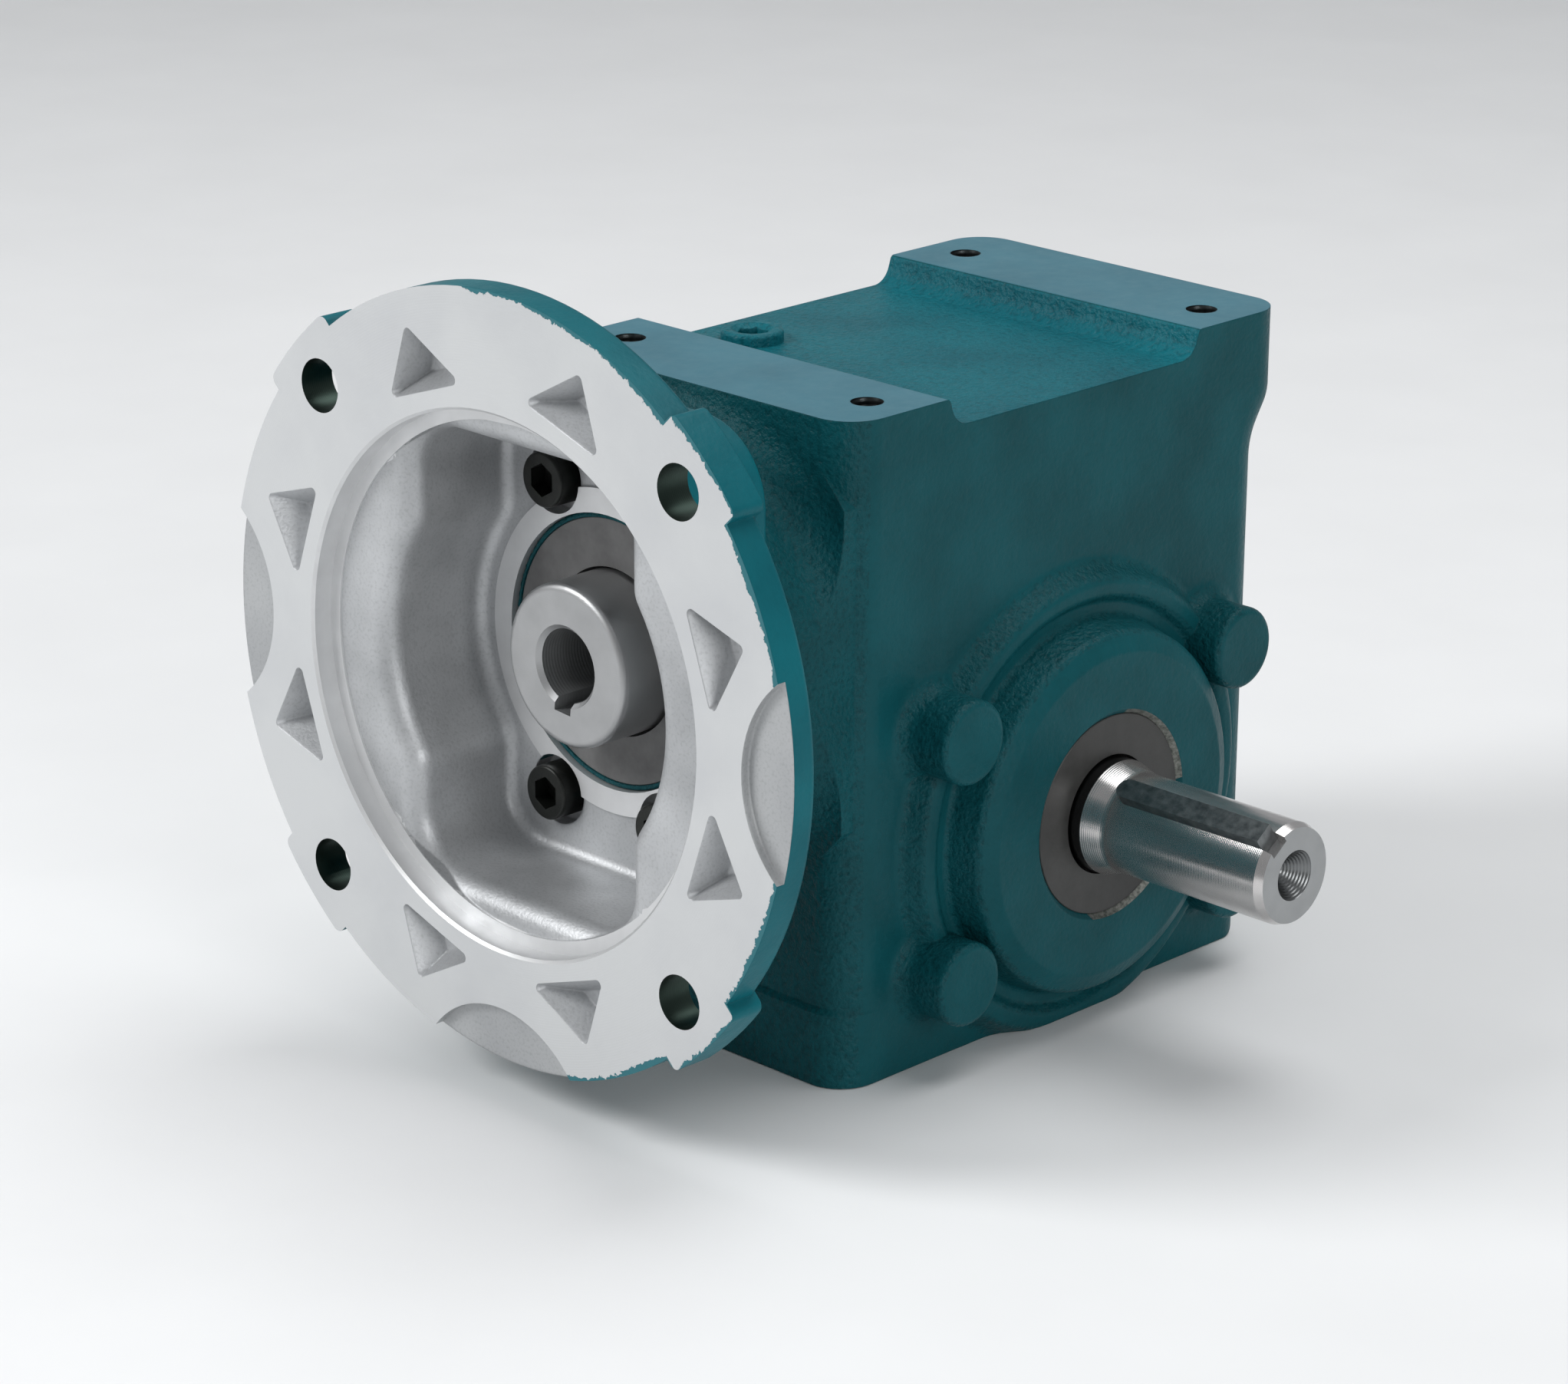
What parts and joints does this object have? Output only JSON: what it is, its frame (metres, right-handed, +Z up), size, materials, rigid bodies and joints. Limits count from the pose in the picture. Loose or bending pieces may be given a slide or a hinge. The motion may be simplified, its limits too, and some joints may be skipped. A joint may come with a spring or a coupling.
{
  "type": "worm gear reducer",
  "caption": "Right-angle worm gear reducer with a motor flange, quill input, bronze worm wheel and one solid keyed output shaft.",
  "frame": {"origin": "middle of the four base holes, on the base face", "axes": "+X along the output shaft, -Y out of the motor flange, +Z up"},
  "size_m": [0.1908, 0.1931, 0.1748],
  "materials": {
    "teal_enamel": "gloss enamel over as-cast iron, machined pads painted smooth",
    "cast_aluminium": "die-cast aluminium, face and register machined bright, rim enamelled",
    "black_oxide_steel": "black oxide socket head screws",
    "turned_steel": "ground and turned shaft steel",
    "key_steel": "cold drawn key steel",
    "seal_rubber": "nitrile covered lip seals, grey brown",
    "bearing_steel": "ground bearing steel",
    "cage_steel": "pressed bearing cages",
    "gear_bronze": "centrifugally cast bronze, hobbed teeth",
    "hub_iron": "cast iron hub",
    "spring_steel": "phosphated spring steel",
    "pressed_cap": "pressed steel closure with rubber skin",
    "gasket_sheet": "compressed fibre gasket sheet"
  },
  "bodies": {
    "case": {"gear_case": "teal_enamel", "motor_flange": "cast_aluminium", "flange_gasket": "gasket_sheet", "flange_screws": "black_oxide_steel", "input_seal": "seal_rubber", "front_bearing_outer": "bearing_steel", "rear_bearing_outer": "bearing_steel", "rear_snap_ring": "spring_steel", "rear_end_cap": "pressed_cap", "drive_bearing_cup": "bearing_steel", "cover_bearing_cup": "bearing_steel", "output_seal": "seal_rubber", "output_cover": "teal_enamel", "cover_gasket": "gasket_sheet", "cover_screws": "teal_enamel", "fill_plug": "teal_enamel", "level_plug": "teal_enamel", "drain_plug": "teal_enamel"},
    "worm": {"worm_shaft": "turned_steel", "front_bearing_inner": "bearing_steel", "rear_bearing_inner": "bearing_steel"},
    "output": {"output_shaft": "turned_steel", "output_key": "key_steel", "worm_wheel_rim": "gear_bronze", "worm_wheel_hub": "hub_iron", "worm_wheel_key": "key_steel", "wheel_spacer": "key_steel", "drive_bearing_cone": "bearing_steel", "cover_bearing_cone": "bearing_steel"},
    "front_ball_set": {"front_bearing_balls": "bearing_steel", "front_bearing_cage": "cage_steel"},
    "rear_ball_set": {"rear_bearing_balls": "bearing_steel", "rear_bearing_cage": "cage_steel"},
    "drive_roller_set": {"drive_bearing_rollers": "bearing_steel", "drive_bearing_cage": "cage_steel"},
    "cover_roller_set": {"cover_bearing_rollers": "bearing_steel", "cover_bearing_cage": "cage_steel"}
  },
  "joints": [
    {"name": "worm_spin", "type": "hinge", "parent": "case", "child": "worm", "pos_m": [0, 0, 0.09245], "axis": [0, 1, 0], "continuous": true},
    {"name": "output_spin", "type": "hinge", "parent": "case", "child": "output", "pos_m": [0, 0, 0.048], "axis": [1, 0, 0], "continuous": true},
    {"name": "front_ball_orbit", "type": "hinge", "parent": "case", "child": "front_ball_set", "pos_m": [0, 0, 0.09245], "axis": [0, 1, 0], "continuous": true},
    {"name": "rear_ball_orbit", "type": "hinge", "parent": "case", "child": "rear_ball_set", "pos_m": [0, 0, 0.09245], "axis": [0, 1, 0], "continuous": true},
    {"name": "drive_roller_orbit", "type": "hinge", "parent": "case", "child": "drive_roller_set", "pos_m": [0, 0, 0.048], "axis": [1, 0, 0], "continuous": true},
    {"name": "cover_roller_orbit", "type": "hinge", "parent": "case", "child": "cover_roller_set", "pos_m": [0, 0, 0.048], "axis": [1, 0, 0], "continuous": true}
  ],
  "couplings": [
    {"joint": "output_spin", "follows": "worm_spin", "ratio": 0.066667},
    {"joint": "front_ball_orbit", "follows": "worm_spin", "ratio": 0.41753},
    {"joint": "rear_ball_orbit", "follows": "worm_spin", "ratio": 0.37126},
    {"joint": "drive_roller_orbit", "follows": "worm_spin", "ratio": 0.027617},
    {"joint": "cover_roller_orbit", "follows": "worm_spin", "ratio": 0.027617}
  ]
}
